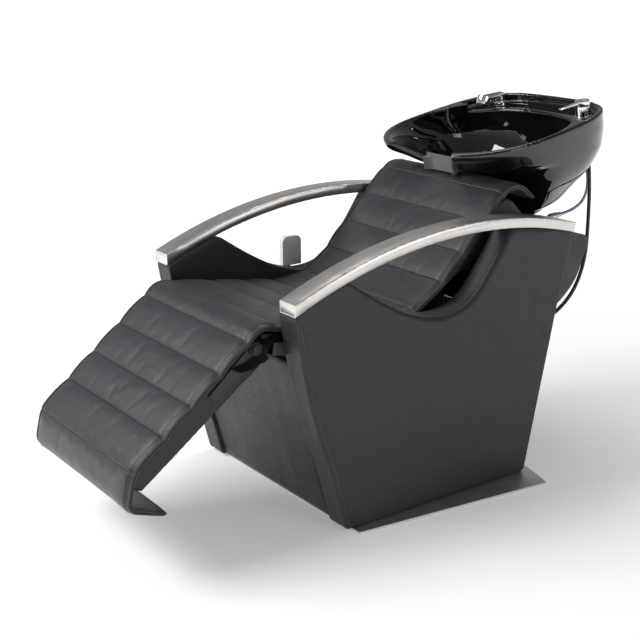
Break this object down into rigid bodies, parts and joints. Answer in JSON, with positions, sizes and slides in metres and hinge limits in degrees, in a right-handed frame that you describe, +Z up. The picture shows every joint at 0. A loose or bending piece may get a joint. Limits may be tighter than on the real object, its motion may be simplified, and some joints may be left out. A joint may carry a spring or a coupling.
{
  "type": "shampoo backwash unit",
  "caption": "Salon backwash unit: quilted reclined seat with tilting leg rest between padded side panels, arched metal armrests and a tilting basin.",
  "frame": {"origin": "on the floor under the base plate, on the middle plane of the unit", "axes": "+Z up, +Y from the foot end towards the basin, +X towards the sitter's left"},
  "size_m": [0.803, 1.5268, 0.9495],
  "materials": {
    "pad_leather": "satin grain",
    "panel_leather": "satin grain",
    "gloss_black": "glossy",
    "bar_metal": "brushed",
    "plate_steel": "brushed",
    "frame_paint": "satin",
    "zinc_steel": "zinc plated",
    "chrome": "polished",
    "gel_grey": "soft satin",
    "grip_grey": "satin",
    "dark_plastic": "matt",
    "waste_plastic": "satin",
    "hose_rubber": "satin",
    "braid_steel": "braided",
    "plywood": "sawn",
    "brass_valve": "plated"
  },
  "bodies": {
    "unit": {"apron_board": "plywood", "apron_cover": "panel_leather", "armrest_end_caps": "bar_metal", "armrest_left": "bar_metal", "armrest_right": "bar_metal", "armrest_studs": "zinc_steel", "back_board": "panel_leather", "back_box": "panel_leather", "barrel_clamps": "frame_paint", "base_plate": "plate_steel", "basin_bracket": "frame_paint", "black_hose": "hose_rubber", "braided_tail": "braid_steel", "cross_members": "frame_paint", "frame_bolts": "zinc_steel", "frame_left": "frame_paint", "frame_right": "frame_paint", "gas_barrel": "frame_paint", "head_elbow": "brass_valve", "hinge_plates": "frame_paint", "hose_gland": "dark_plastic", "panel_cores": "plywood", "panel_cover_left": "panel_leather", "panel_cover_right": "panel_leather", "panel_screw_caps": "dark_plastic", "rear_cover": "dark_plastic", "rear_panel": "dark_plastic", "seat_back_pad": "pad_leather", "seat_board": "panel_leather", "shaft_bushes": "dark_plastic", "stop_valves": "brass_valve", "supply_pipes": "zinc_steel", "waste_bellows": "hose_rubber", "waste_pipe": "waste_plastic"},
    "leg_rest": {"leg_pad": "pad_leather", "leg_box": "panel_leather", "leg_shaft": "zinc_steel", "leg_arms": "frame_paint", "crank_pin": "zinc_steel"},
    "spring_rod": {"gas_rod": "zinc_steel"},
    "plunger": {"release_plunger": "zinc_steel"},
    "hand_lever": {"lever_shaft": "zinc_steel", "lever_arm": "frame_paint", "lever_grip": "grip_grey"},
    "basin_unit": {"basin": "gloss_black", "neck_rest": "gel_grey", "basin_yoke": "frame_paint", "tilt_pins": "zinc_steel", "drain_fitting": "chrome", "mixer_body": "chrome", "spray_sleeve": "chrome", "deck_nuts": "brass_valve", "transfer_pipe": "zinc_steel"},
    "strainer": {"hair_strainer": "chrome"},
    "mixer_top": {"mixer_cap": "chrome"},
    "mixer_handle": {"mixer_lever": "chrome"},
    "spray": {"spray_handset": "chrome"},
    "cold_valve": {"valve_lever_cold": "dark_plastic"},
    "hot_valve": {"valve_lever_hot": "dark_plastic"}
  },
  "joints": [
    {"name": "leg_rest_hinge", "type": "hinge", "parent": "unit", "child": "leg_rest", "pos_m": [0, -0.496, 0.474], "axis": [-1, 0, 0], "range_deg": [-40, 38]},
    {"name": "gas_rod_slide", "type": "slide", "parent": "unit", "child": "spring_rod", "axis": [0, -1, 0], "range_m": [-0.0395, 0.0375]},
    {"name": "hand_lever_hinge", "type": "hinge", "parent": "unit", "child": "hand_lever", "pos_m": [0, -0.062, 0.426], "axis": [-1, 0, 0], "range_deg": [0, 20], "stiffness_Nm_per_rad": 3, "springref_deg": -17.19},
    {"name": "plunger_slide", "type": "slide", "parent": "unit", "child": "plunger", "axis": [0, -1, 0], "range_m": [0, 0.005]},
    {"name": "basin_tilt", "type": "hinge", "parent": "unit", "child": "basin_unit", "pos_m": [0, 0.505, 0.617], "axis": [-1, 0, 0], "range_deg": [0, 8], "deforming": ["waste_bellows", "black_hose", "braided_tail"]},
    {"name": "strainer_lift", "type": "slide", "parent": "basin_unit", "child": "strainer", "axis": [0, -0.1908, 0.9816], "range_m": [0, 0.03]},
    {"name": "mixer_turn", "type": "hinge", "parent": "basin_unit", "child": "mixer_top", "pos_m": [0.158, 0.59527, 0.93977], "axis": [0, -0.1908, 0.9816], "range_deg": [-45, 45]},
    {"name": "mixer_lift", "type": "hinge", "parent": "mixer_top", "child": "mixer_handle", "pos_m": [0.158, 0.59695, 0.94162], "axis": [-1, 0, 0], "range_deg": [0, 25]},
    {"name": "spray_pull", "type": "slide", "parent": "basin_unit", "child": "spray", "axis": [0, -0.1908, 0.9816], "range_m": [0, 0.06]},
    {"name": "cold_valve_turn", "type": "hinge", "parent": "unit", "child": "cold_valve", "pos_m": [0.19, 0.33465, 0.185], "axis": [0, 0, -1], "range_deg": [0, 90]},
    {"name": "hot_valve_turn", "type": "hinge", "parent": "unit", "child": "hot_valve", "pos_m": [0.12, 0.33465, 0.185], "axis": [0, 0, -1], "range_deg": [0, 90]}
  ],
  "couplings": [
    {"joint": "gas_rod_slide", "follows": "leg_rest_hinge", "m_per_rad": 0.0558},
    {"joint": "plunger_slide", "follows": "hand_lever_hinge", "m_per_rad": 0.014322}
  ]
}
